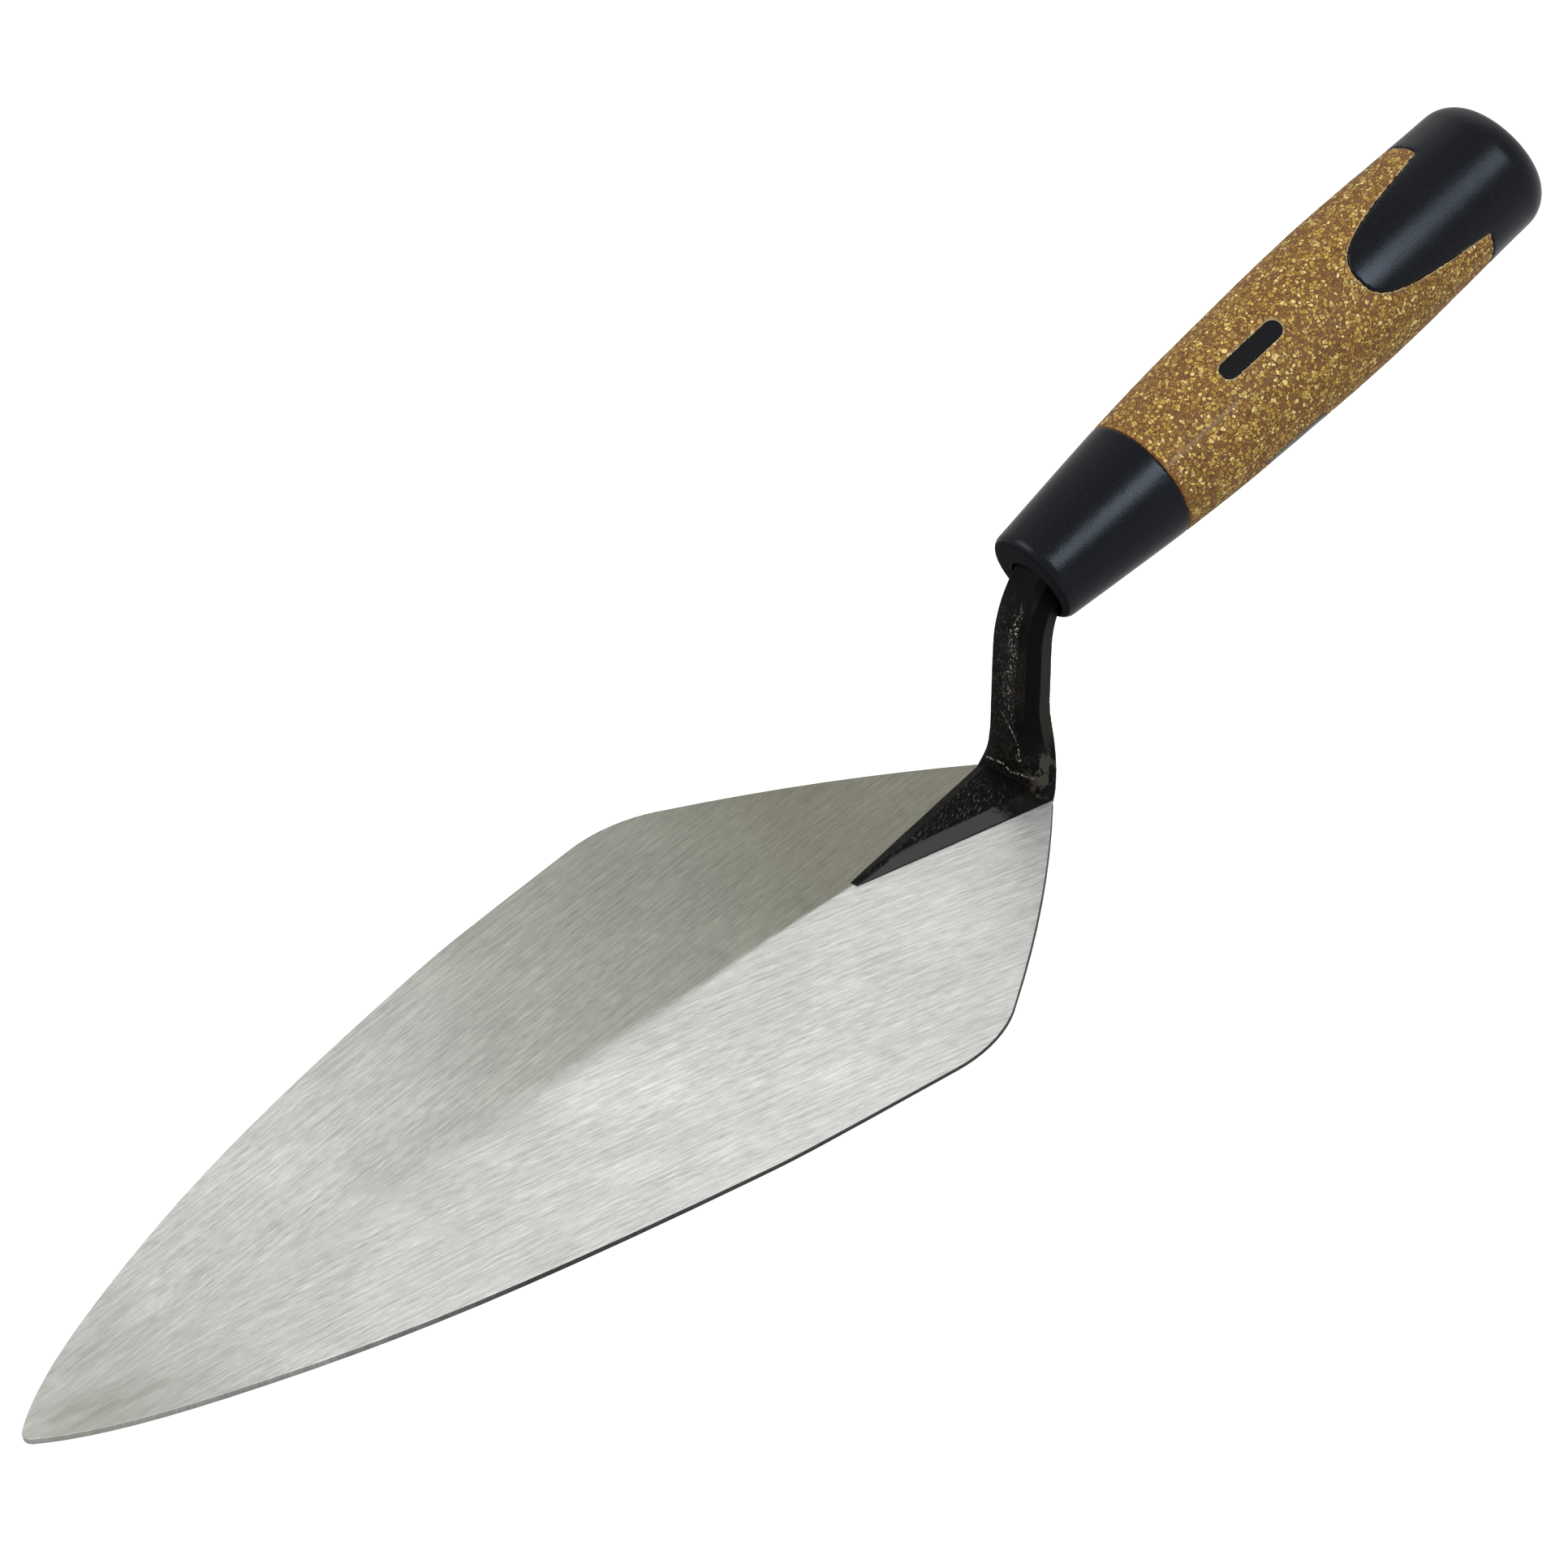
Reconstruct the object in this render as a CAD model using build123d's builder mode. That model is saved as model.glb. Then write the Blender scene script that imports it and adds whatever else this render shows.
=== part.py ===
from build123d import *
from math import cos, radians, sin
import os

# Brick trowel, wide London pattern, 11 in blade.
# Frame: blade underside on Z = 0, +X from the toe of the blade to the butt of the handle,
# origin under the middle of the overall box. Millimetres.
# Places along X are given from the toe, and places along the handle from its mouth.

# ---- Driving dimensions ----
overall_length = 451.37
toe_x = -overall_length / 2

# Blade
blade_length = 279.9
side_end = 202.3
side_end_half_width = 68.1
side_end_slope = 0.13
shoulder_radius = 30.0
shoulder_turn = -47.8
heel_half_width = 12.4
toe_radius = 3.0
toe_thickness = 1.4
ridge_thickness = 3.0
ridge_full_at = 215.0
heel_thickness = 1.7
edge_thickness = 0.8
roof_half_width = 75.0

# Foot of the shank, a spear lying on the blade, its bevels starting just above the blade's roof
foot_nose = 231.2
foot_nose_half_width = 1.2
foot_nose_height = 2.8
foot_heel_height = 1.8
foot_top_nose = 245.0
foot_top_nose_half_width = 0.2
foot_top_height = 3.9
foot_bevel = 4.0

# Neck of the shank, an eight-sided bar
neck_base_x = 285.9
neck_base_z = 20.0
neck_lean = 74.0
neck_half_depth = 5.7
neck_half_width = 5.6
neck_front_cut = 1.6
neck_rear_cut = 5.2
rear_cut_slope = 0.46
bend_radius = 24.5

# Tang, a four-sided taper driven into the handle
tang_start = 13.5
tang_end = 118.0
tang_root_side = 8.4
tang_tip_side = 4.6

# Handle
handle_pitch = 11.63
mouth_x = 295.3
mouth_z = 48.0
handle_length = 156.6
collar_end = 35.6
grip_end = 135.0
butt_radius = 8.2
butt_tilt = 5.0
mouth_tilt = 3.0
mouth_round = 2.0
mouth_recess_radius = 7.6
mouth_recess_drop = 3.0
mouth_recess_depth = 4.0
core_radius = 12.5
core_spigot_radius = 9.0
core_start = 12.0
end_allowance = 3.0
core_end = 148.5

# Slots round the grip in two opposite pairs, each filled by a key of the core
slot_angles = (40.5, 121.5, 220.5, 301.5)
slot_start = 60.5
slot_length = 18.6
slot_width = 4.5
key_front_radius = 17.0
key_rear_radius = 17.7

# Tongues of the end cap, let into the grip
tongue_count = 2
tongue_first_angle = 137.5
tongue_tip = 100.1
tongue_base_half_width = 12.3
tongue_seat_radius = 15.0

# ---- Directions and places worked out from them ----
heel_x = toe_x + blade_length
pitch = radians(handle_pitch)
lean = radians(neck_lean)
handle_direction = Vector(cos(pitch), 0, sin(pitch))
handle_top = Vector(-sin(pitch), 0, cos(pitch))
neck_direction = Vector(cos(lean), 0, sin(lean))
mouth = Vector(toe_x + mouth_x, 0, mouth_z)
handle_axis = Axis(mouth, handle_direction)
handle_section = Plane(origin=mouth, x_dir=handle_direction, z_dir=(0, -1, 0))


def across_handle(distance, tilt=0.0):
    """A plane across the handle, facing its butt, its X to the +Y side and its Y upwards.

    It is square to the handle, or tilted by some degrees to face up and leave the underside longer.
    """
    facing = handle_direction * cos(radians(tilt)) + handle_top * sin(radians(tilt))
    return Plane(
        origin=mouth + handle_direction * distance,
        x_dir=(0, 1, 0),
        z_dir=facing,
    )


def facing_out(angle):
    """A plane through the handle axis that faces out of the handle, its X along the handle.

    The angle is measured round the handle from the +Y side, and 90 degrees is the top.
    """
    turn = radians(angle)
    outward = Vector(0, 1, 0) * cos(turn) + handle_top * sin(turn)
    return Plane(origin=mouth, x_dir=handle_direction, z_dir=outward)


# ---- Blade: flat below, a low roof above whose ridge thins towards the toe ----
roof_stations = (
    (toe_x - 1, toe_thickness),
    (toe_x + ridge_full_at, ridge_thickness),
    (heel_x + 1, heel_thickness),
)

with BuildPart() as blade:
    for x, ridge in roof_stations:
        with BuildSketch(Plane(origin=(x, 0, 0), x_dir=(0, 1, 0), z_dir=(1, 0, 0))):
            Polygon(
                (-roof_half_width, 0),
                (roof_half_width, 0),
                (roof_half_width, edge_thickness),
                (0, ridge),
                (-roof_half_width, edge_thickness),
                align=None,
            )
    loft(ruled=True)
    with BuildSketch():
        with BuildLine():
            toe = CenterArc((toe_x + toe_radius, 0), toe_radius, 180, -45)
            side = Spline(
                toe @ 1,
                (toe_x + 11.5, 10.8),
                (toe_x + 38.3, 25.4),
                (toe_x + 95.7, 46.8),
                (toe_x + 153.1, 60.9),
                (toe_x + side_end, side_end_half_width),
                tangents=[toe % 1, (1, side_end_slope)],
            )
            shoulder = JernArc(side @ 1, side % 1, shoulder_radius, shoulder_turn)
            heel_side = ThreePointArc(
                shoulder @ 1,
                (toe_x + 254.2, 37.7),
                (heel_x, heel_half_width),
            )
            Line(heel_side @ 1, (heel_x, 0))
            mirror(about=Plane.XZ)
        make_face()
    extrude(amount=ridge_thickness + 1, mode=Mode.INTERSECT)
blade.part.label = "blade"


# ---- Shank: spear foot, flared root, cranked neck and tapered tang in one forging ----
# The foot's levels: nose from the toe, nose half width, heel half width, height at nose and at heel
foot_levels = (
    (foot_nose, foot_nose_half_width, heel_half_width, 0.0, 0.0),
    (foot_nose, foot_nose_half_width, heel_half_width, foot_nose_height, foot_heel_height),
    (foot_top_nose, foot_top_nose_half_width, heel_half_width - foot_bevel, foot_top_height, foot_top_height),
)


def bar(half_depth, half_width, front_cut, rear_cut):
    """The eight-sided bar section: X runs from its front to its rear and Y across it.

    The front corners are cut off evenly. The rear ones have long cuts that narrow the bar little by little.
    """
    rear_half_width = half_width - rear_cut * rear_cut_slope
    Polygon(
        (-half_depth, half_width - front_cut),
        (-half_depth, front_cut - half_width),
        (front_cut - half_depth, -half_width),
        (half_depth - rear_cut, -half_width),
        (half_depth, -rear_half_width),
        (half_depth, rear_half_width),
        (half_depth - rear_cut, half_width),
        (front_cut - half_depth, half_width),
        align=None,
    )


def across_neck(angle, middle, height):
    """A plane square to a line at this angle above the blade, its X pointing to the rear."""
    slope = radians(angle)
    return Plane(
        origin=(toe_x + middle, 0, height),
        x_dir=(sin(slope), 0, -cos(slope)),
        z_dir=(cos(slope), 0, sin(slope)),
    )


# The root's sections, each square to a line that leans back more the higher it is:
# lean, height, middle from the toe, half depth, half width, front cut, rear cut
root_stations = (
    (90, 0.4, 278.9, 1.6, 12.2, 0.4, 1.0),
    (88, 2.4, 280.4, 2.1, 11.8, 0.6, 1.8),
    (85, 4.6, 281.8, 2.9, 10.6, 0.8, 2.7),
    (81, 8.2, 283.4, 4.3, 8.5, 1.2, 4.0),
    (77, 13.0, 284.6, 5.4, 6.6, 1.5, 4.9),
    (75, 16.5, 285.2, 5.6, 5.9, 1.6, 5.1),
    (neck_lean, neck_base_z, neck_base_x, neck_half_depth, neck_half_width, neck_front_cut, neck_rear_cut),
)

# The neck's line meets the handle axis at the corner that the bend rounds off.
neck_base = Vector(toe_x + neck_base_x, 0, neck_base_z)
to_mouth = mouth - neck_base
across = to_mouth.Z * cos(pitch) - to_mouth.X * sin(pitch)
bend_corner = neck_base + neck_direction * (across / sin(lean - pitch))
tang_root = mouth + handle_direction * tang_start

with BuildPart() as shank:
    # Foot, with a low upright edge and a bevel all round up to its flat top
    for nose, nose_half_width, half_width, nose_height, heel_height in foot_levels:
        slope = Vector(blade_length - nose, 0, heel_height - nose_height)
        with BuildSketch(
            Plane(
                origin=(toe_x + nose, 0, nose_height),
                x_dir=slope,
                z_dir=slope.cross(Vector(0, 1, 0)),
            )
        ):
            Polygon(
                (0, -nose_half_width),
                (slope.length, -half_width),
                (slope.length, half_width),
                (0, nose_half_width),
                align=None,
            )
    loft(ruled=True)
    # Root, flaring down to the full width of the heel
    for angle, height, middle, half_depth, half_width, front_cut, rear_cut in root_stations:
        with BuildSketch(across_neck(angle, middle, height)):
            bar(half_depth, half_width, front_cut, rear_cut)
    loft()
    add(blade.part, mode=Mode.SUBTRACT)
    # Neck and bend
    with BuildLine(Plane.XZ) as neck_line:
        FilletPolyline(
            (neck_base.X, neck_base.Z),
            (bend_corner.X, bend_corner.Z),
            (tang_root.X, tang_root.Z),
            radius=bend_radius,
        )
    with BuildSketch(across_neck(neck_lean, neck_base_x, neck_base_z)):
        bar(neck_half_depth, neck_half_width, neck_front_cut, neck_rear_cut)
    sweep(path=neck_line.wires()[0])
    # Tang
    with BuildSketch(across_handle(tang_start)):
        Rectangle(tang_root_side, tang_root_side)
    with BuildSketch(across_handle(tang_end)):
        Rectangle(tang_tip_side, tang_tip_side)
    loft(ruled=True)
shank.part.label = "shank"


# ---- Handle pieces, cut from one barrel turned about the handle axis ----
with BuildPart() as barrel:
    with BuildSketch(handle_section):
        with BuildLine():
            outline = Spline(
                (-end_allowance, 11.55),
                (20, 13.9),
                (48, 16.4),
                (78, 17.75),
                (105, 18.3),
                (grip_end, 17.45),
                (handle_length + end_allowance, 17.0),
            )
            Polyline(
                outline @ 1,
                (handle_length + end_allowance, 0),
                (-end_allowance, 0),
                outline @ 0,
            )
        make_face()
    revolve(axis=handle_axis)

# The tongues fill the skin of the barrel outside their seat, within a U-shaped outline.
with BuildPart() as tongues:
    for number in range(tongue_count):
        with BuildSketch(facing_out(tongue_first_angle + number * 360 / tongue_count)):
            with BuildLine():
                edge = Spline(
                    (tongue_tip, 0),
                    (104.8, 6.9),
                    (116.7, 10.0),
                    (grip_end, tongue_base_half_width),
                    tangents=[(0, 1), (1, 0.12)],
                )
                Line(edge @ 1, (grip_end, 0))
                mirror(about=Plane.XZ)
            make_face()
        extrude(amount=2 * core_radius)
    add(barrel.part, mode=Mode.INTERSECT)
    with BuildSketch(across_handle(0)):
        Circle(tongue_seat_radius)
    extrude(amount=handle_length, mode=Mode.SUBTRACT)

# The keys of the core, one in each slot of the grip
with BuildPart() as slot_fill:
    for angle in slot_angles:
        with BuildSketch(facing_out(angle)):
            with Locations((slot_start + slot_length / 2, 0)):
                SlotOverall(slot_length, slot_width)
        extrude(amount=2 * core_radius)

# ---- Handle core: a stepped plastic tube moulded round the tang ----
with BuildPart() as handle_core:
    with BuildSketch(across_handle(slot_start)):
        Circle(key_front_radius)
    with BuildSketch(across_handle(slot_start + slot_length)):
        Circle(key_rear_radius)
    loft()
    add(slot_fill.part, mode=Mode.INTERSECT)
    with BuildSketch(across_handle(collar_end)):
        Circle(core_radius)
    extrude(amount=grip_end - collar_end)
    with BuildSketch(across_handle(core_start)):
        Circle(core_spigot_radius)
    extrude(amount=core_end - core_start)
    add(shank.part, mode=Mode.SUBTRACT)
handle_core.part.label = "handle_core"

# ---- Front collar: a hollow round the neck low in its mouth, and a socket for the core behind it ----
with BuildPart() as front_collar:
    add(barrel.part)
    split(bisect_by=across_handle(collar_end), keep=Keep.BOTTOM)
    split(bisect_by=across_handle(0, mouth_tilt), keep=Keep.TOP)
    fillet(faces().sort_by(handle_axis)[0].edges(), mouth_round)
    with BuildSketch(across_handle(0)):
        with Locations((0, -mouth_recess_drop)):
            Circle(mouth_recess_radius)
    extrude(amount=mouth_recess_depth, both=True, mode=Mode.SUBTRACT)
    with BuildSketch(across_handle(core_start)):
        Circle(core_spigot_radius)
    extrude(amount=collar_end - core_start, mode=Mode.SUBTRACT)
    add(shank.part, mode=Mode.SUBTRACT)
front_collar.part.label = "front_collar"

# ---- Cork grip: a sleeve with slots for the keys and seats for the tongues ----
with BuildPart() as cork_grip:
    add(barrel.part)
    split(bisect_by=across_handle(collar_end), keep=Keep.TOP)
    split(bisect_by=across_handle(grip_end), keep=Keep.BOTTOM)
    with BuildSketch(across_handle(collar_end)):
        Circle(core_radius)
    extrude(amount=grip_end - collar_end, mode=Mode.SUBTRACT)
    add(slot_fill.part, mode=Mode.SUBTRACT)
    add(tongues.part, mode=Mode.SUBTRACT)
cork_grip.part.label = "cork_grip"

# ---- End cap: a closed butt with two tongues reaching forward over the grip ----
with BuildPart() as end_cap:
    add(barrel.part)
    split(bisect_by=across_handle(grip_end), keep=Keep.TOP)
    split(bisect_by=across_handle(handle_length, butt_tilt), keep=Keep.BOTTOM)
    fillet(faces().sort_by(handle_axis)[-1].edges(), butt_radius)
    with BuildSketch(across_handle(grip_end)):
        Circle(core_spigot_radius)
    extrude(amount=core_end - grip_end, mode=Mode.SUBTRACT)
    add(tongues.part)
end_cap.part.label = "end_cap"

# ---- Write one file per piece ----
os.makedirs("parts", exist_ok=True)
for piece in (blade, shank, handle_core, front_collar, cork_grip, end_cap):
    export_step(piece.part, "parts/" + piece.part.label + ".step")
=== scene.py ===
import math

import bpy
import numpy as np
from mathutils import Matrix, Vector, noise
from mathutils.bvhtree import BVHTree


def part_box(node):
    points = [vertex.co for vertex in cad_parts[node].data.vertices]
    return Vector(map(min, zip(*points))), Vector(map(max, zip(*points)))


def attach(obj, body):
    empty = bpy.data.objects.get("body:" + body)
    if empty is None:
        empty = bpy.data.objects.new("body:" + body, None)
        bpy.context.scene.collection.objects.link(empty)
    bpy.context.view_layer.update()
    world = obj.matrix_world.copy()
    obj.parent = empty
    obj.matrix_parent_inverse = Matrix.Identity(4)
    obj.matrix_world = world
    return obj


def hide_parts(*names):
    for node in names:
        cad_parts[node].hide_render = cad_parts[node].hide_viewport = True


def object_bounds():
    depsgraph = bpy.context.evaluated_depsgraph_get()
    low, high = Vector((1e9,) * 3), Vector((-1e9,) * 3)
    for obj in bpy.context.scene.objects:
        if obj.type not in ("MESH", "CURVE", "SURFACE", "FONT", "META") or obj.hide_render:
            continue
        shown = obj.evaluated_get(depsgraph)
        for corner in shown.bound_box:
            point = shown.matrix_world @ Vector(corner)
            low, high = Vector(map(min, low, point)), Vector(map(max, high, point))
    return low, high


# A brick trowel. Everything is in metres, in the frame of the CAD model: the blade's underside
# lies on Z = 0, +X runs from the toe of the blade to the butt of the handle, and +Z is up.
# The near side is the one towards -Y, and the far side the one towards +Y.
# Each piece here is a finished mesh that stands for one CAD node, in the same place.

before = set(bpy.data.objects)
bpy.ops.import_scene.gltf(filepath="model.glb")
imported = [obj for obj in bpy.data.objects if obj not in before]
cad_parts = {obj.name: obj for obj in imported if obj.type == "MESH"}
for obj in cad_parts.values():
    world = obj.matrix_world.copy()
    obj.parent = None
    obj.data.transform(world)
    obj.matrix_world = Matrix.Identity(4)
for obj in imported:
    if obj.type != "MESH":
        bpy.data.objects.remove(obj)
cad_low, cad_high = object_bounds()

# ---- Places, from the frame ----
toe_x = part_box("blade")[0].x
heel_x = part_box("blade")[1].x
foot_nose_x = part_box("shank")[0].x

# The handle's own frame, as the CAD model has it: its axis starts at the mouth of the collar.
handle_pitch = math.radians(11.63)
mouth = np.array((toe_x + 0.2953, 0, 0.048))
handle_along = np.array((math.cos(handle_pitch), 0, math.sin(handle_pitch)))
handle_up = np.array((-math.sin(handle_pitch), 0, math.cos(handle_pitch)))

# The grip's slots, as the CAD model has them
slot_angles = np.radians((40.5, 121.5, 220.5, 301.5))
slot_middle = 0.0698
slot_length = 0.0186
slot_width = 0.0045

# The blade's roof, as the CAD model has it: an edge, and a ridge that thins towards the toe
edge_thickness = 0.0008
roof_half_width = 0.075
ridge_x = (toe_x - 0.001, toe_x + 0.215, heel_x + 0.001)
ridge_z = (0.0014, 0.0030, 0.0017)


def handle_coordinates(points):
    """Distances from the mouth, radii, and angles round the handle from +Y past the top."""
    offset = points - mouth
    height = offset @ handle_up
    return offset @ handle_along, np.hypot(offset[:, 1], height), np.arctan2(height, offset[:, 1])


def turn_between(angle, other):
    """The turn from one angle to another, from minus to plus half a circle."""
    return (angle - other + math.pi) % (2 * math.pi) - math.pi


def outward_share(points, normals):
    """How squarely each normal faces away from the handle axis: 1 straight out, 0 to a side."""
    angle = handle_coordinates(points)[2]
    return np.cos(angle) * normals[:, 1] + np.sin(angle) * (normals @ handle_up)


# ---- Camera, light and floor ----
def add_object(name, data):
    made = bpy.data.objects.new(name, data)
    bpy.context.scene.collection.objects.link(made)
    return made


def add_camera():
    """A long lens past the toe, on the near side and above, looking down across the trowel."""
    right = Vector((0.752241, -0.630262, -0.192087))
    down = Vector((-0.486971, -0.335440, -0.806438))
    forward = right.cross(down)
    lens = bpy.data.cameras.new("camera")
    lens.sensor_width = 36
    lens.lens = 167.7
    camera = add_object("camera", lens)
    place = Matrix((right, -down, -forward)).transposed().to_4x4()
    place.translation = Vector((toe_x - 0.489613, -1.118840, 0.931147))
    camera.matrix_world = place
    bpy.context.scene.camera = camera


def add_softbox(name, towards, distance, size, power, tint):
    """A rectangular lamp, a distance off in one direction, facing the middle of the trowel."""
    lamp = bpy.data.lights.new(name, "AREA")
    lamp.shape = "RECTANGLE"
    lamp.size, lamp.size_y = size
    lamp.energy = power
    lamp.color = tint
    middle = (cad_low + cad_high) / 2
    away = Vector(towards).normalized()
    softbox = add_object(name, lamp)
    facing_middle = away.to_track_quat("Z", "Y").to_matrix().to_4x4()
    softbox.matrix_world = Matrix.Translation(middle + away * distance) @ facing_middle


def split_strength(tree, socket, to_trowel, to_camera):
    """Feeds a strength one number for light and reflections, and another for the camera."""
    strength = tree.nodes.new("ShaderNodeMapRange")
    strength.inputs["To Min"].default_value = to_trowel
    strength.inputs["To Max"].default_value = to_camera
    seen = tree.nodes.new("ShaderNodeLightPath").outputs["Is Camera Ray"]
    tree.links.new(seen, strength.inputs["Value"])
    tree.links.new(strength.outputs[0], socket)


def add_floor():
    """A plain pale floor just under the blade."""
    half = 3.0
    gap = 0.0002
    data = bpy.data.meshes.new("floor")
    corners = [(-half, -half, -gap), (half, -half, -gap), (half, half, -gap), (-half, half, -gap)]
    data.from_pydata(corners, [], [(0, 1, 2, 3)])
    floor = add_object("floor", data)
    pale = bpy.data.materials.new("pale_floor")
    pale.use_nodes = True
    surface = pale.node_tree.nodes["Principled BSDF"].inputs
    surface["Base Color"].default_value = (0.45, 0.45, 0.45, 1)
    surface["Roughness"].default_value = 0.9
    surface["Specular IOR Level"].default_value = 0.1
    surface["Emission Color"].default_value = (1, 1, 1, 1)
    split_strength(pale.node_tree, surface["Emission Strength"], to_trowel=0.10, to_camera=0.85)
    data.materials.append(pale)


def add_world():
    """An even pale room for light and reflections, seen as white past the floor's edge."""
    world = bpy.data.worlds.new("studio")
    world.use_nodes = True
    room = world.node_tree.nodes["Background"].inputs
    room["Color"].default_value = (1, 1, 1, 1)
    split_strength(world.node_tree, room["Strength"], to_trowel=0.55, to_camera=1.0)
    bpy.context.scene.world = world


# Each lamp's name, direction from the trowel, distance, width and height, watts and tint
white = (1, 1, 1)
pale_blue = (0.80, 0.90, 1.0)
lamps = (
    ("front_softbox", (0.28, -0.752, 0.60), 1.42, (0.62, 0.58), 9.2, pale_blue),
    ("back_softbox", (0.63, 0.50, 0.60), 1.6, (1.5, 1.2), 1.5, white),
    ("left_softbox", (-0.5, 0.35, 0.8), 1.8, (1.2, 1.2), 12.5, white),
)


def add_studio():
    bpy.context.scene.view_settings.view_transform = "Standard"
    add_world()
    for lamp in lamps:
        add_softbox(*lamp)
    add_floor()


# ---- Mesh work ----
def finish_modifiers(piece):
    """Puts the result of the piece's modifiers in its mesh."""
    graph = bpy.context.evaluated_depsgraph_get()
    piece.data = bpy.data.meshes.new_from_object(piece.evaluated_get(graph))
    piece.modifiers.clear()


def even_copy(node, name, voxel, rounding, prepare=None):
    """A piece with a CAD node's shape, rebuilt in even small faces with its edges rounded off."""
    piece = add_object(name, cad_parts[node].data.copy())
    piece.data.materials.clear()
    if prepare:
        prepare(piece.data)
    remesh = piece.modifiers.new("even", "REMESH")
    remesh.mode = "VOXEL"
    remesh.voxel_size = voxel
    remesh.use_smooth_shade = True
    soften = piece.modifiers.new("soften", "SMOOTH")
    soften.factor = 0.5
    soften.iterations = rounding
    finish_modifiers(piece)
    return piece


def read_vectors(rows, name):
    """The vectors that rows of mesh data hold under a name, as one array."""
    vectors = np.empty(len(rows) * 3, np.float32)
    rows.foreach_get(name, vectors)
    return vectors.reshape(-1, 3).astype(float)


def read_points(data):
    return read_vectors(data.vertices, "co")


def read_normals(data):
    return read_vectors(data.vertex_normals, "vector")


def write_points(data, points):
    data.vertices.foreach_set("co", points.astype(np.float32).ravel())
    data.update()


def write_mask(data, name, values):
    """A number from 0 to 1 for each vertex, which a material can read by this name."""
    mask = data.attributes.new(name, "FLOAT", "POINT")
    mask.data.foreach_set("value", np.clip(values, 0, 1).astype(np.float32))


def fade(values, start, end):
    """0 before start, 1 after end, and smooth between them. It falls where end is before start."""
    share = np.clip((values - start) / (end - start), 0, 1)
    return share * share * (3 - 2 * share)


def lumps(points, size, seed):
    """Smooth noise from about -1 to 1 at each point, with lumps about this size."""
    shift = Vector((seed, seed * 0.7, seed * 1.3))
    return np.array([noise.noise(Vector(p) / size + shift) for p in points])


def distance_to(node, points):
    """How far each point is from a CAD node's surface."""
    tree = BVHTree.FromObject(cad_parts[node], bpy.context.evaluated_depsgraph_get())
    return np.array([tree.find_nearest(Vector(p))[3] for p in points])


# ---- Blade ----
rim_rounding = 0.00018
slope_points = 20


def roof_height(x, y):
    """The blade's upper face: two slopes whose ridge is crisp by the foot and soft by the toe."""
    softness = np.interp(x, (toe_x, foot_nose_x), (0.005, 0.0004))
    aside = np.sqrt(y * y + softness * softness) - softness
    ridge = np.interp(x, ridge_x, ridge_z)
    return edge_thickness + (ridge - edge_thickness) * (1 - aside / roof_half_width)


def blade_outline():
    """Stations from toe to heel with the half width at each, closer together than 2 mm."""
    points = read_points(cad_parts["blade"].data)
    same = 1e-5
    rim = points[(points[:, 2] < same) & (points[:, 1] > 0)]
    rim = rim[np.argsort(rim[:, 0])]
    rim = rim[np.append(np.diff(rim[:, 0]) > same, True)]
    first = toe_x + 0.00005
    stations = np.unique(np.append(rim[:, 0], np.arange(first, heel_x, 0.002)))
    stations = stations[stations >= first]
    known_x = np.append(toe_x, rim[:, 0])
    known_width = np.append(0, rim[:, 1])
    return stations, np.interp(stations, known_x, known_width)


def blade_section(x, half_width):
    """Half of the blade's section: the slope from the ridge, the rounded rim and the underside."""
    corner = min(rim_rounding, half_width * 0.3)
    flat = half_width - min(3 * rim_rounding, half_width * 0.6)
    edge = roof_height(x, half_width)
    turns = np.radians((0, 30, 60, 90))
    arc = [(corner * (1 - math.sin(turn)), corner * (1 - math.cos(turn))) for turn in turns]
    slope = flat * np.linspace(0, 1, slope_points) ** 1.7
    section = [(y, roof_height(x, y)) for y in slope]
    section += [(half_width - aside, edge - below) for aside, below in arc]
    section += [(half_width - below, aside) for aside, below in arc]
    section += [(flat, 0.0), (half_width / 2, 0.0), (0.0, 0.0)]
    return section


def make_blade():
    """The blade, lofted from its sections, with a mask that is 1 on its rim."""
    rows = []
    for x, half_width in zip(*blade_outline()):
        section = blade_section(x, half_width)
        rows.append([(x, y, z) for y, z in section] + [(x, -y, z) for y, z in section[-2:0:-1]])
    count = len(rows[0])
    faces = []
    for row in range(len(rows) - 1):
        for i in range(count):
            here, beyond = row * count + i, row * count + (i + 1) % count
            faces.append((here, beyond, beyond + count, here + count))
    faces.append(tuple(range(count - 1, -1, -1)))
    faces.append(tuple(range((len(rows) - 1) * count, len(rows) * count)))
    data = bpy.data.meshes.new("blade_plate")
    data.from_pydata([p for row in rows for p in row], [], faces)
    data.shade_smooth()
    data.set_sharp_from_angle(angle=math.radians(40))
    # The rim's mask runs from two thirds of the way round its upper corner to the underside
    section_size = len(blade_section(0, roof_half_width))
    rim_points = range(slope_points + 2, section_size - 3)
    on_rim = [1.0 if min(i, count - i) in rim_points else 0.0 for i in range(count)]
    write_mask(data, "rim", np.tile(on_rim, len(rows)))
    return add_object("blade_plate", data)


# ---- Shank ----
root_height = 0.0045
foot_end_x = toe_x + 0.279
# How far the normals of the smooth cuts down the neck's rear edges point backwards and sideways
cut_back = 0.40
cut_out = 0.91


def sink_foot(data):
    """Carries the foot's underside down into the blade that it's joined to."""
    touching = 0.00005
    sunk = 0.001
    points = read_points(data)
    clearance = points[:, 2] - roof_height(points[:, 0], np.abs(points[:, 1]))
    under_foot = (clearance < touching) & (points[:, 0] < heel_x - 0.0001)
    points[under_foot, 2] -= sunk
    write_points(data, points)


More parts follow.
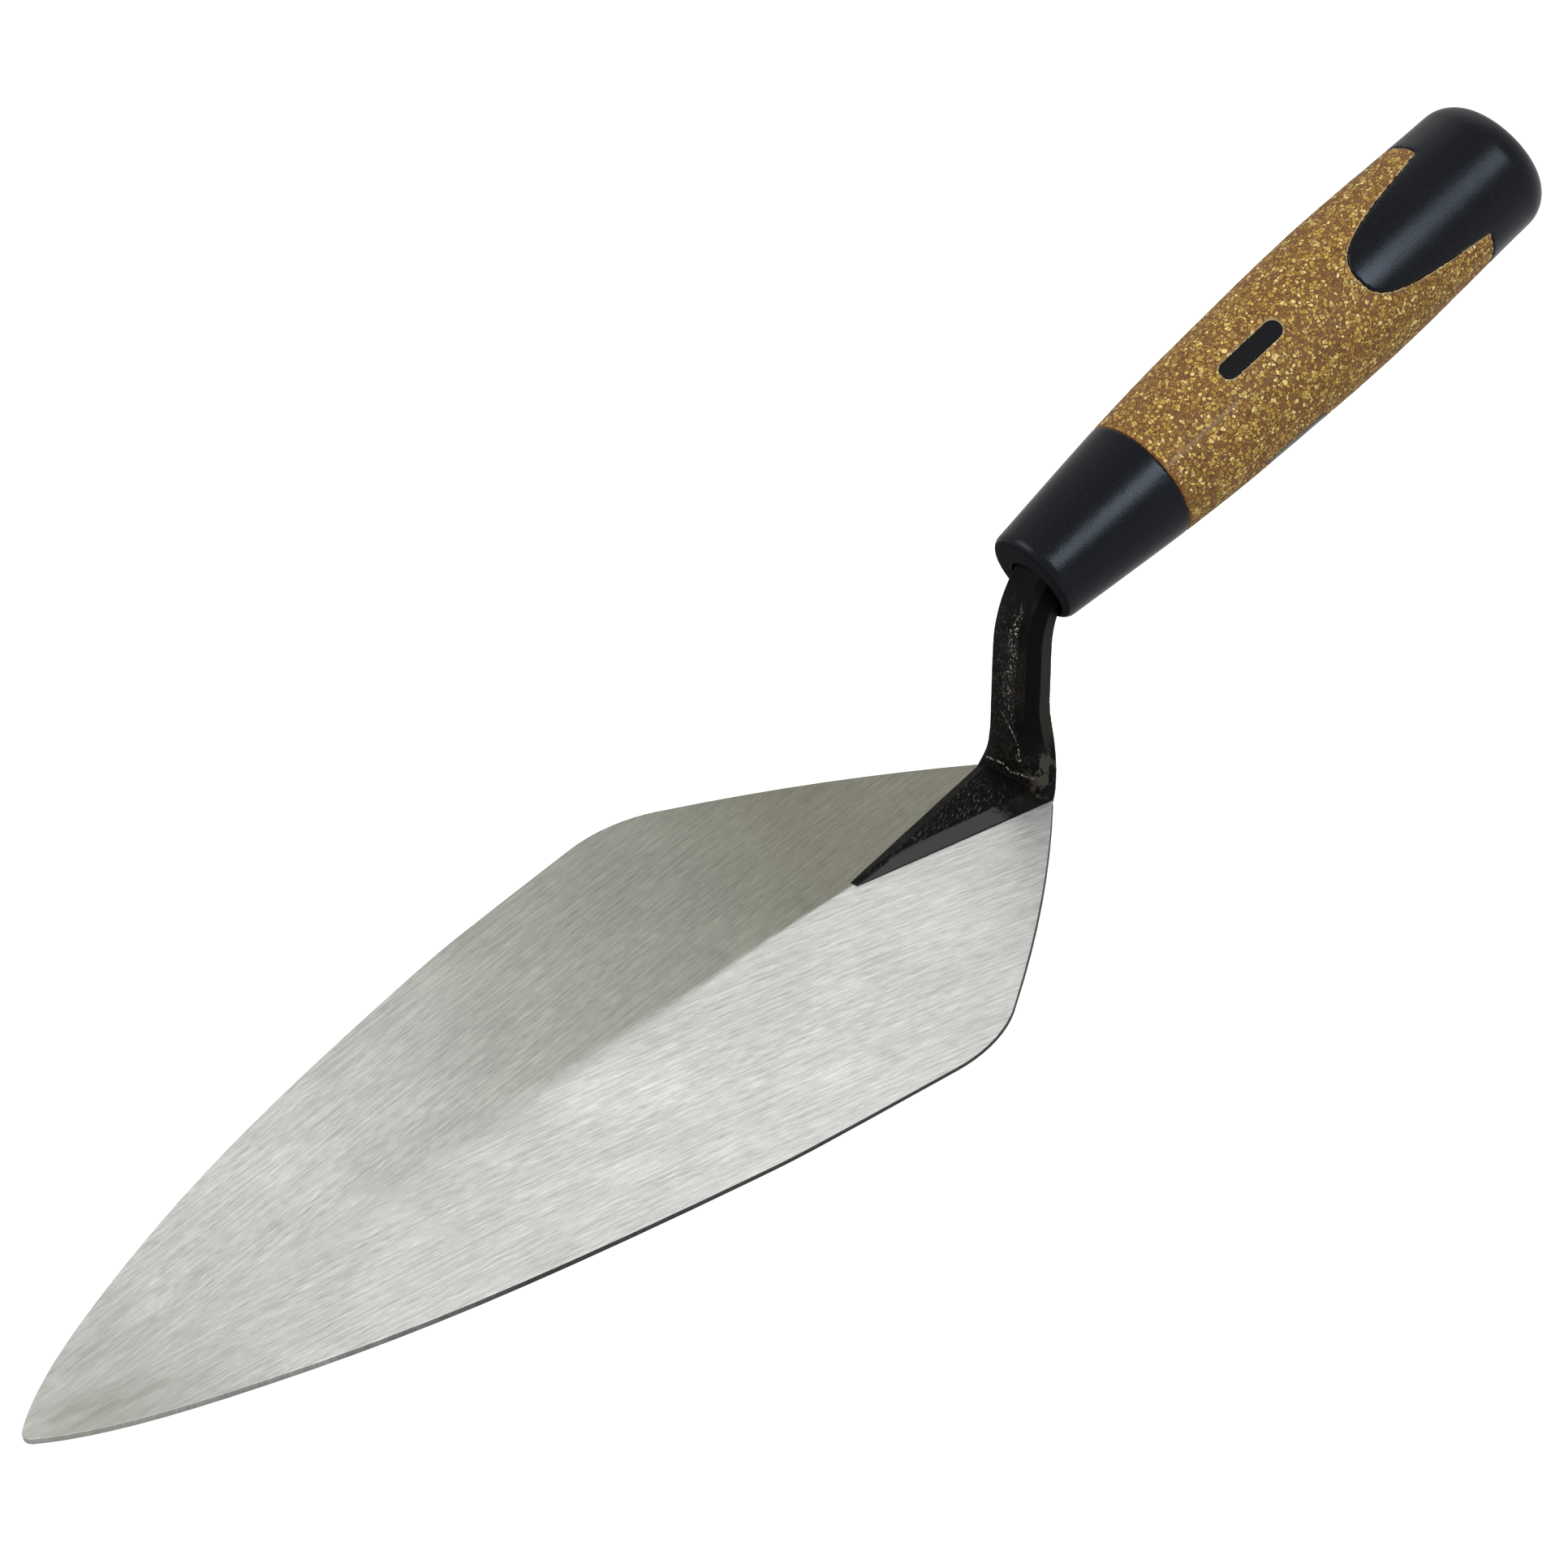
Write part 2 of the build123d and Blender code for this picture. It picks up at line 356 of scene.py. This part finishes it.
def write_shank_masks(data, points, normals):
    """The cuts down the neck, the neck's front and sides, and the foot's bevels and top."""
    height = points[:, 2]
    backward = normals[:, 0]
    outward = np.abs(normals[:, 1])
    upright = np.hypot(normals[:, 0], normals[:, 1])
    above_root = fade(height, root_height, root_height + 0.0030)
    on_foot = fade(height, root_height, root_height - 0.0005) * (points[:, 0] < foot_end_x)
    write_mask(data, "cut", above_root * fade(outward * cut_out + backward * cut_back, 0.957, 0.985))
    write_mask(data, "front", fade(height, 0.0035, 0.005) * fade(-backward, 0.75, 0.9))
    write_mask(data, "side", above_root * fade(outward, 0.93, 0.98))
    write_mask(data, "bevel", on_foot * fade(upright, 0.15, 0.32) * fade(upright, 0.85, 0.6))
    write_mask(data, "foot_top", on_foot * fade(upright, 0.32, 0.15) * fade(height, 0.0030, 0.0034))


def make_shank():
    """The forging: edges worn round, faces a little uneven, and sunk into the blade it's joined to."""
    piece = even_copy("shank", "forged_shank", voxel=0.00030, rounding=2, prepare=sink_foot)
    points = read_points(piece.data)
    normals = read_normals(piece.data)
    write_shank_masks(piece.data, points, normals)
    outside_handle = fade(points[:, 0], mouth[0] + 0.006, mouth[0] - 0.002)
    off_blade = fade(points[:, 2], 0.002, 0.006)
    uneven = 0.00007 * lumps(points, 0.009, 3) + 0.00004 * lumps(points, 0.0022, 8)
    points += normals * (uneven * outside_handle * off_blade)[:, None]
    write_points(piece.data, points)
    return piece


# ---- Handle ----
# The moulding seam on the cork, which runs from the collar and fades out beside the slots
seam_angle = math.radians(144)
seam_end = slot_middle - slot_length / 2 + 0.003


def slot_distance(points):
    """How far each point lies outside the nearest slot's outline, or inside it where negative."""
    along, radius, angle = handle_coordinates(points)
    reach = (slot_length - slot_width) / 2
    turn = np.abs(turn_between(angle[:, None], slot_angles)).min(axis=1)
    past_end = np.maximum(np.abs(along - slot_middle) - reach, 0)
    return np.hypot(past_end, radius * np.sin(turn)) - slot_width / 2


def make_grip():
    """The cork sleeve: turned smooth, faintly pitted, with a moulding seam.

    Its masks are a painted highlight along its cut borders where they face outwards, the joint with the
    collar, and the seam.
    """
    piece = even_copy("cork_grip", "cork_sleeve", voxel=0.00054, rounding=2)
    points = read_points(piece.data)
    normals = read_normals(piece.data)
    along, radius, angle = handle_coordinates(points)
    out_of_bore = fade(radius, 0.0135, 0.0145)
    to_border = np.minimum(distance_to("end_cap", points), slot_distance(points))
    to_collar = distance_to("front_collar", points)
    inland = fade(np.minimum(to_border, to_collar), 0.0002, 0.0012)
    pits = 0.00003 * lumps(points, 0.0009, 5) + 0.00004 * lumps(points, 0.004, 11)
    seam_gap = np.abs(turn_between(angle, seam_angle)) * radius
    seam = fade(seam_gap, 0.0006, 0.0001) * fade(along, seam_end, seam_end - 0.008) * out_of_bore
    trim = 0.00002
    seam_rise = 0.00004
    points += normals * (pits * out_of_bore * inland - trim + seam_rise * seam)[:, None]
    write_points(piece.data, points)
    facing_out = fade(outward_share(points, normals), 0.2, 0.7)
    # A painted highlight along the cut borders, on faces that look outwards
    write_mask(piece.data, "border_highlight", out_of_bore * facing_out * fade(to_border, 0.0005, 0.00015))
    write_mask(piece.data, "joint", out_of_bore * fade(to_collar, 0.0006, 0.0002))
    write_mask(piece.data, "seam", seam)
    return piece


def make_collar():
    """The front collar, with a mask for the dull face round its mouth."""
    piece = even_copy("front_collar", "mouth_collar", voxel=0.0004, rounding=3)
    facing_mouth = read_normals(piece.data) @ -handle_along
    write_mask(piece.data, "dull_end", fade(facing_mouth, 0.6, 0.9))
    return piece


def make_cap():
    """The end cap, with its tongues."""
    return even_copy("end_cap", "butt_cap", voxel=0.00045, rounding=3)


# ---- Materials ----
class Paint:
    """A material being mixed. Most of its methods add nodes and give back what they make."""

    def __init__(self, name):
        self.material = bpy.data.materials.new(name)
        self.material.use_nodes = True
        self.tree = self.material.node_tree
        self.shader = self.tree.nodes["Principled BSDF"]
        self.place = self.add("ShaderNodeTexCoord").outputs["Object"]

    def feed(self, socket, value):
        """Links an output to a socket, or sets a constant on it."""
        if isinstance(value, bpy.types.NodeSocket):
            self.tree.links.new(value, socket)
        else:
            socket.default_value = value

    def add(self, kind, settings=None, **inputs):
        node = self.tree.nodes.new(kind)
        for name, value in (settings or {}).items():
            setattr(node, name, value)
        for name, value in inputs.items():
            self.feed(node.inputs[name], value)
        return node

    def set(self, **inputs):
        """Values or outputs for the shader's own sockets, with _ for each space in a name."""
        for name, value in inputs.items():
            self.feed(self.shader.inputs[name.replace("_", " ")], value)

    def math(self, operation, a, b=0.0):
        node = self.add("ShaderNodeMath", {"operation": operation})
        self.feed(node.inputs[0], a)
        self.feed(node.inputs[1], b)
        return node.outputs[0]

    def times(self, *factors):
        """Numbers and outputs multiplied together."""
        product = factors[0]
        for factor in factors[1:]:
            product = self.math("MULTIPLY", product, factor)
        return product

    def strongest(self, *shares):
        """The largest of some numbers at each point."""
        largest = shares[0]
        for share in shares[1:]:
            largest = self.math("MAXIMUM", largest, share)
        return largest

    def axes(self):
        return self.add("ShaderNodeSeparateXYZ", Vector=self.place).outputs

    def stretched(self, sizes, turn=0.0, vector=None):
        """Coordinates in which a pattern's features have these sizes, turned about Z."""
        node = self.add("ShaderNodeMapping", {"vector_type": "TEXTURE"}, Vector=vector or self.place)
        self.feed(node.inputs["Rotation"], (0, 0, turn))
        self.feed(node.inputs["Scale"], sizes)
        return node.outputs[0]

    def noise(self, vector, detail=2.0, roughness=0.5, distortion=0.0):
        node = self.add("ShaderNodeTexNoise", Vector=vector, Scale=1.0, Detail=detail)
        self.feed(node.inputs["Roughness"], roughness)
        self.feed(node.inputs["Distortion"], distortion)
        return node

    def lumps(self, size, detail=2.0, **more):
        return self.noise(self.stretched((size, size, size)), detail, **more).outputs[0]

    def carry(self, value, start, end, low, high, how="LINEAR"):
        """A number carried in proportion from one range to another, and held at its ends."""
        node = self.add("ShaderNodeMapRange", {"interpolation_type": how})
        for number, entry in enumerate((value, start, end, low, high)):
            self.feed(node.inputs[number], entry)
        return node.outputs[0]

    def ramp(self, value, start, end, low=0.0, high=1.0):
        """low before start, high after end, and smooth between them."""
        return self.carry(value, start, end, low, high, "SMOOTHSTEP")

    def streak(self, along, aside, stops, half_width):
        """1 on a line through stops of (along, aside) in metres, fading out at its sides and ends."""
        start, end = stops[0][0], stops[-1][0]
        asides = [stop[1] for stop in stops]
        low, high = min(asides), max(asides)
        greys = [((a - start) / (end - start), ((b - low) / (high - low),) * 3) for a, b in stops]
        course = self.bands(self.carry(along, start, end, 0.0, 1.0), greys)
        course = self.carry(course, 0.0, 1.0, low, high)
        begun = self.ramp(along, start - half_width, start + half_width)
        ended = self.ramp(along, end + half_width, end - half_width)
        return self.times(self.line(aside, course, half_width), begun, ended)

    def ring(self, a, b, middle, radius, half_width):
        """1 on a small ring drawn round a middle in the plane of two coordinates."""
        aside = [self.math("SUBTRACT", value, centre) for value, centre in zip((a, b), middle)]
        squares = [self.times(gap, gap) for gap in aside]
        from_middle = self.math("SQRT", self.math("ADD", *squares))
        return self.line(from_middle, radius, half_width)

    def line(self, value, middle, half_width):
        """1 where a number is at the middle, fading to 0 at the half width to either side."""
        gap = self.math("ABSOLUTE", self.math("SUBTRACT", value, middle))
        return self.ramp(gap, half_width, half_width * 0.3)

    def mask(self, name):
        return self.add("ShaderNodeAttribute", {"attribute_name": name}).outputs["Fac"]

    def mix(self, share, a, b):
        """Colour a where share is 0 and b where it is 1."""
        node = self.add("ShaderNodeMix", {"data_type": "RGBA"})
        self.feed(node.inputs["Factor"], share)
        self.feed(node.inputs[6], a if isinstance(a, bpy.types.NodeSocket) else (*a, 1))
        self.feed(node.inputs[7], b if isinstance(b, bpy.types.NodeSocket) else (*b, 1))
        return node.outputs[2]

    def shade(self, colour, value):
        """The colour made lighter or darker by a number at each point."""
        scaled = self.add("ShaderNodeVectorMath", {"operation": "SCALE"})
        self.feed(scaled.inputs[0], colour)
        self.feed(scaled.inputs["Scale"], value)
        return scaled.outputs[0]

    def bands(self, value, stops):
        """A colour read from stops of (place, colour)."""
        node = self.add("ShaderNodeValToRGB", Fac=value)
        elements = node.color_ramp.elements
        for element, (place, colour) in zip(elements, (stops[0], stops[-1])):
            element.position, element.color = place, (*colour, 1)
        for place, colour in stops[1:-1]:
            elements.new(place).color = (*colour, 1)
        return node.outputs[0]

    def bump(self, height, depth, strength=1.0, below=None):
        node = self.add("ShaderNodeBump", Height=height, Distance=depth, Strength=strength)
        if below is not None:
            self.feed(node.inputs["Normal"], below)
        return node.outputs[0]


# Directions of the brushed lines at the toe and at the heel
near_brush_turns = (math.radians(-5), math.radians(-20))
far_brush_turns = (math.radians(6), math.radians(8))

# Painted shade: the far slope is painted darker over this stretch of X, which lies nearer the heel by a
# share of Y
far_painted_shade_reach = (toe_x + 0.080, toe_x + 0.225)
far_painted_shade_slant = 0.4

# Stretches of X over which a mark of the steel comes in, each from none to full
tip_reach = (toe_x + 0.065, toe_x + 0.005)
dark_scratch_reach = (heel_x - 0.07, heel_x - 0.02)
pale_scratch_reach = (toe_x + 0.14, toe_x + 0.04)
# The rim's darkness, partly the edge's own dark rough finish and partly painted shade, grows over this
# stretch
rim_reach = (toe_x + 0.015, toe_x + 0.10)

# Colours of the steel. The far slope's colours are painted darker than the near slope's, most at the
# heel: painted shade
near_steel = (0.82, 0.83, 0.785)
far_toe_steel = (0.75, 0.76, 0.72)
far_heel_painted_shade = (0.335, 0.326, 0.262)
smudge_grey = (0.46, 0.45, 0.39)
tip_grey = (0.48, 0.48, 0.42)
dark_scratch_grey = (0.34, 0.33, 0.30)
pale_scratch_grey = (0.95, 0.96, 0.90)
# Near black for the rim: partly its own dark finish, partly painted shade
rim_black_and_painted_shade = (0.055, 0.038, 0.045)


def along_brush(paint, x, y, toe_turn, heel_turn):
    """Coordinates along and across brushed lines, whose direction turns evenly from toe to heel."""
    toe_slope, heel_slope = math.tan(toe_turn), math.tan(heel_turn)
    from_toe = paint.math("SUBTRACT", x, toe_x)
    turning = paint.times(from_toe, (heel_slope - toe_slope) / (2 * (heel_x - toe_x)))
    course = paint.times(from_toe, paint.math("ADD", turning, toe_slope))
    return paint.add("ShaderNodeCombineXYZ", X=x, Y=paint.math("SUBTRACT", y, course)).outputs[0]


def brush_marks(paint, place):
    """Fine and broad brushed lines, from 0 to 1."""
    fine = paint.noise(paint.stretched((0.0040, 0.00024, 1), vector=place), 4, 0.7).outputs[0]
    broad = paint.noise(paint.stretched((0.016, 0.0009, 1), vector=place), 3, 0.6).outputs[0]
    return paint.math("ADD", paint.times(fine, 0.62), paint.times(broad, 0.38))


def blade_steel():
    """Ground steel, brushed one way on each slope, with a dull tip, scratches and a dark rim that is
    partly painted shade.

    The far slope is painted darker towards the heel, as painted shade.
    """
    paint = Paint("ground_steel")
    x, y, _ = paint.axes()

    # 0 on the near slope and 1 on the far one, with a border that is sharp only by the foot
    border = paint.ramp(x, toe_x, foot_nose_x, 0.016, 0.0005)
    wobble = paint.times(paint.math("SUBTRACT", paint.lumps(0.004, 3), 0.5), 0.8)
    across = paint.math("ADD", paint.math("DIVIDE", y, border), wobble)
    far = paint.ramp(across, -1, 1)

    near_place = along_brush(paint, x, y, *near_brush_turns)
    far_place = along_brush(paint, x, y, *far_brush_turns)
    lines = paint.mix(far, brush_marks(paint, near_place), brush_marks(paint, far_place))
    lines = paint.add("ShaderNodeSeparateColor", Color=lines).outputs[0]

    # Painted shade: the far slope's colour is darkened towards the heel
    slanted = paint.math("SUBTRACT", x, paint.times(y, far_painted_shade_slant))
    painted_shade_share = paint.carry(slanted, *far_painted_shade_reach, 0, 1)
    far_steel_with_painted_shade = paint.mix(painted_shade_share, far_toe_steel, far_heel_painted_shade)
    colour = paint.mix(far, near_steel, far_steel_with_painted_shade)
    clouds = paint.ramp(paint.lumps(0.03, 3, distortion=0.5), 0.35, 0.7, 0.94, 1.03)
    line_shade = paint.ramp(lines, 0.3, 0.7, 0.70, 1.28)
    colour = paint.shade(colour, paint.times(clouds, line_shade))

    smudge_place = paint.stretched((0.02, 0.004, 0.02), near_brush_turns[0])
    smudges = paint.ramp(paint.noise(smudge_place, 3, 0.6).outputs[0], 0.45, 0.7)
    tip = paint.times(paint.ramp(x, *tip_reach), paint.ramp(far, 0, 1, 1.0, 0.4))
    colour = paint.mix(paint.times(smudges, tip), colour, smudge_grey)
    colour = paint.mix(paint.times(tip, 0.70), colour, tip_grey)

    sparse = paint.noise(paint.stretched((0.012, 0.0003, 1), vector=near_place), 2).outputs[0]
    dark_scratches = paint.times(paint.ramp(sparse, 0.62, 0.68), paint.ramp(x, *dark_scratch_reach))
    pale_scratches = paint.times(paint.ramp(sparse, 0.37, 0.31), paint.ramp(x, *pale_scratch_reach))
    colour = paint.mix(paint.times(dark_scratches, 0.5), colour, dark_scratch_grey)
    colour = paint.mix(paint.times(pale_scratches, 0.4), colour, pale_scratch_grey)

    # The rim is painted near black: partly the edge's own dark rough finish, partly painted shade
    rim = paint.times(paint.mask("rim"), paint.carry(x, *rim_reach, 0.1, 0.92))
    colour = paint.mix(rim, colour, rim_black_and_painted_shade)
    roughness = paint.ramp(lines, 0.25, 0.75, 0.46, 0.58)
    paint.set(Base_Color=colour, Roughness=roughness, Metallic=1.0, Anisotropic=0.35)
    paint.set(Normal=paint.bump(lines, 0.00003, 0.35))
    return paint.material


# Lines of wear: down the neck's front as (height, aside), and across the root as (aside, height)
scuff_course = (
    (0.0215, -0.0030), (0.0250, -0.0016), (0.0290, -0.0014),
    (0.0345, -0.0030), (0.0380, -0.0022), (0.0440, -0.0028),
)
scratch_course = (
    (0.0105, -0.0042), (0.0137, -0.0047), (0.0166, -0.0033), (0.0181, -0.0021), (0.0207, 0.0),
)
crack_course = ((-0.0085, 0.0066), (0.0, 0.0052), (0.0020, 0.0064), (0.0085, 0.0058))
# Small rings knocked into the neck's front, as (height, aside, radius)
knock_rings = ((0.0103, -0.0041, 0.0008), (0.0452, -0.0034, 0.0009))
# The middle of the worn patch on the root
worn_root = (toe_x + 0.282, -0.0095, 0.0070)
# Stretches of X over which the bevels' grey and the foot's flecks come in, from none to full
bevel_reach = (toe_x + 0.271, toe_x + 0.267)
fleck_reach = (toe_x + 0.280, toe_x + 0.268)
# The way that the flecks lie
fleck_turn = math.radians(30)

# Colours of the forging
deep_scale = (0.004, 0.003, 0.0026)
light_scale = (0.009, 0.0072, 0.0064)
rubbed_grey = (0.10, 0.095, 0.085)
side_black = (0.003, 0.0022, 0.002)
bevel_grey = (0.052, 0.051, 0.048)
cut_grey = (0.022, 0.0225, 0.0165)
foot_black = (0.003, 0.0022, 0.0018)
fleck_grey = (0.115, 0.11, 0.10)
speck_grey = (0.11, 0.105, 0.095)
mark_grey = (0.46, 0.44, 0.40)
worn_brown = (0.060, 0.055, 0.042)


def neck_marks(paint, y, z, wobble):
    """The rubbed track, scratch, crack line and knocks on the shank's front, broken up by lumps."""
    aside = paint.math("ADD", y, wobble)
    scuff_grain = paint.noise(paint.stretched((0.0004, 0.0004, 0.0009)), 2, 0.6).outputs[0]
    scuff_zone = paint.streak(z, aside, scuff_course, 0.0022)
    scuffs = paint.times(scuff_zone, paint.ramp(scuff_grain, 0.55, 0.63))
    scratch_aside = paint.math("ADD", y, paint.times(wobble, 0.4))
    scratch = paint.streak(z, scratch_aside, scratch_course, 0.00028)
    crack_height = paint.math("ADD", z, paint.times(wobble, 0.5))
    crack = paint.streak(y, crack_height, crack_course, 0.00035)
    knocks = [paint.ring(z, aside, ring[:2], ring[2], 0.00022) for ring in knock_rings]
    broken = paint.ramp(paint.lumps(0.0009, 3, roughness=0.7), 0.44, 0.58)
    return paint.times(paint.strongest(scuffs, scratch, crack, *knocks), broken)


def worn_patch(paint, wobble):
    """A blotchy patch on the near side of the root where the scale is worn thin."""
    gap = paint.add("ShaderNodeVectorMath", {"operation": "DISTANCE"})
    paint.feed(gap.inputs[0], paint.place)
    paint.feed(gap.inputs[1], worn_root)
    from_middle = paint.math("ADD", gap.outputs["Value"], paint.times(wobble, 3))
    blotches = paint.ramp(paint.lumps(0.0022, 3, roughness=0.6), 0.53, 0.47)
    return paint.times(paint.ramp(from_middle, 0.0062, 0.0035), blotches)


def forged_scale():
    """Black forging scale: grey on cuts and near bevels, flecked on the foot, worn in front."""
    paint = Paint("forged_scale")
    x, y, z = paint.axes()
    patches = paint.lumps(0.007, 3)
    grit = paint.lumps(0.00045, 3, roughness=0.7)
    wobble = paint.carry(paint.lumps(0.0012, 2), 0, 1, -0.0009, 0.0009)
    colour = paint.mix(paint.ramp(patches, 0.35, 0.65), deep_scale, light_scale)
    rubbed = paint.times(paint.ramp(patches, 0.50, 0.65), paint.ramp(grit, 0.52, 0.64))
    colour = paint.mix(paint.times(rubbed, 0.25), colour, rubbed_grey)
    colour = paint.mix(paint.mask("side"), colour, side_black)

    near_side = paint.ramp(y, 0.001, -0.001)
    ragged_end = paint.ramp(paint.math("ADD", x, paint.times(wobble, 3)), *bevel_reach)
    bevel = paint.times(paint.mask("bevel"), near_side, ragged_end)
    cut = paint.mask("cut")
    colour = paint.mix(bevel, colour, bevel_grey)
    colour = paint.mix(cut, colour, cut_grey)

    foot_top = paint.mask("foot_top")
    hammered = paint.noise(paint.stretched((0.0017, 0.00055, 0.0010), fleck_turn), 3, 0.7).outputs[0]
    flecks = paint.times(foot_top, paint.ramp(hammered, 0.56, 0.66), paint.ramp(x, *fleck_reach))
    colour = paint.mix(foot_top, colour, foot_black)
    colour = paint.mix(paint.times(flecks, 0.8), colour, fleck_grey)

    front = paint.mask("front")
    specks = paint.ramp(paint.lumps(0.0007, 3, roughness=0.8), 0.54, 0.66)
    colour = paint.mix(paint.times(specks, front, 0.5), colour, speck_grey)
    colour = paint.mix(paint.times(neck_marks(paint, y, z, wobble), front), colour, mark_grey)
    colour = paint.mix(paint.times(worn_patch(paint, wobble), 0.8), colour, worn_brown)

    roughness = paint.ramp(grit, 0.3, 0.7, 0.42, 0.7)
    paint.set(Base_Color=colour, Roughness=roughness, Metallic=0.0, Specular_IOR_Level=0.05)
    coarse = paint.bump(patches, 0.0004, 0.4)
    rough_top = paint.bump(hammered, 0.0006, paint.times(foot_top, 0.9), coarse)
    grit_strength = paint.ramp(paint.strongest(cut, bevel), 0, 1, 0.6, 0.15)
    paint.set(Normal=paint.bump(grit, 0.00015, grit_strength, rough_top))
    return paint.material


# Colours of the cork: the resin, the chips from the darkest tone to the lightest, and the borders, the
# palest of which is a painted highlight
dark_resin = (0.17, 0.078, 0.025)
light_resin = (0.24, 0.11, 0.034)
chip_outline = (0.085, 0.038, 0.016)
chip_colours = (
    (0.0, (0.22, 0.100, 0.022)),
    (0.4, (0.38, 0.205, 0.038)),
    (0.8, (0.60, 0.38, 0.078)),
    (1.0, (0.90, 0.68, 0.26)),
)
seam_colour = (0.30, 0.22, 0.14)
joint_colour = (0.26, 0.085, 0.03)
# Pale colour of the painted highlight on the cut borders
border_highlight_colour = (0.55, 0.42, 0.28)
# Each layer of chips, as the size of its cells and the share of them that are chips
chip_layers = ((0.0013, 0.66), (0.0009, 0.70))


def bound_cork():
    """Cork granules in brown resin: angular yellow chips in dark outlines, and paler borders, one of
    them a painted highlight along the cut edges.
    """
    paint = Paint("bound_cork")
    wander = paint.noise(paint.stretched((0.0006,) * 3), 2)
    drift = paint.add("ShaderNodeVectorMath", {"operation": "MULTIPLY_ADD"})
    paint.feed(drift.inputs[0], wander.outputs["Color"])
    paint.feed(drift.inputs[1], (0.0005,) * 3)
    paint.feed(drift.inputs[2], paint.place)
    colour = paint.mix(paint.lumps(0.006, 3), dark_resin, light_resin)
    height = paint.lumps(0.0015, 2)
    for size, share in chip_layers:
        place = paint.stretched((size,) * 3, vector=drift.outputs[0])
        cells = paint.add("ShaderNodeTexVoronoi", Vector=place, Scale=1.0)
        chance, tone, _ = paint.add("ShaderNodeSeparateColor", Color=cells.outputs["Color"]).outputs
        chosen = paint.ramp(chance, 1 - share, 1 - share + 0.04)
        to_edge = {"feature": "DISTANCE_TO_EDGE"}
        inward = paint.add("ShaderNodeTexVoronoi", to_edge, Vector=place, Scale=1.0).outputs["Distance"]
        outline = paint.times(chosen, paint.ramp(inward, 0.14, 0.04))
        chip = paint.times(chosen, paint.ramp(inward, 0.07, 0.16))
        colour = paint.mix(paint.times(outline, 0.6), colour, chip_outline)
        colour = paint.mix(chip, colour, paint.bands(tone, chip_colours))
        height = paint.math("ADD", height, chip)
    colour = paint.shade(colour, paint.ramp(paint.lumps(0.00025, 2), 0.3, 0.7, 0.78, 1.22))
    colour = paint.mix(paint.times(paint.mask("seam"), 0.5), colour, seam_colour)
    colour = paint.mix(paint.times(paint.mask("joint"), 0.6), colour, joint_colour)
    # Painted highlight along the cut borders
    colour = paint.mix(paint.times(paint.mask("border_highlight"), 0.8), colour, border_highlight_colour)
    roughness = paint.ramp(height, 0.4, 2.0, 0.62, 0.50)
    paint.set(Base_Color=colour, Roughness=roughness, Specular_IOR_Level=0.2)
    paint.set(Normal=paint.bump(height, 0.00006, 0.5))
    return paint.material


cool_tint = (0.84, 0.91, 1.0, 1)


def grained_plastic(name, deep, light):
    """Satin plastic with a fine grain and faint handling marks, dull where the dull_end mask is 1."""
    paint = Paint(name)
    grain = paint.lumps(0.00035, 2, roughness=0.6)
    colour = paint.mix(paint.ramp(grain, 0.35, 0.65), deep, light)
    handled = paint.ramp(paint.lumps(0.012, 4), 0.3, 0.7, 0.19, 0.24)
    satin = paint.math("ADD", paint.ramp(grain, 0.3, 0.7, 0.0, 0.06), handled)
    roughness = paint.strongest(satin, paint.times(paint.mask("dull_end"), 0.95))
    paint.set(Base_Color=colour, Roughness=roughness, Specular_IOR_Level=0.25)
    paint.set(Specular_Tint=cool_tint, Normal=paint.bump(grain, 0.00008, 0.45))
    return paint.material


# ---- Put it together ----
add_camera()
add_studio()
satin_black = grained_plastic("satin_black", (0.001, 0.001, 0.0015), (0.006, 0.0055, 0.008))
core_black = grained_plastic("core_black", (0.002, 0.002, 0.002), (0.006, 0.006, 0.006))
made = (
    (make_blade, blade_steel(), "blade", "blade_steel"),
    (make_shank, forged_scale(), "shank", "forged_steel"),
    (make_grip, bound_cork(), "cork_grip", "cork"),
    (make_collar, satin_black, "front_collar", "black_plastic"),
    (make_cap, satin_black, "end_cap", "black_plastic"),
)
for make, material, node, slot in made:
    piece = make()
    piece.data.materials.clear()
    piece.data.materials.append(material)
    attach(piece, "root")
    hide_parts(node)
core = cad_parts["handle_core"]
core.data.materials.clear()
core.data.materials.append(core_black)
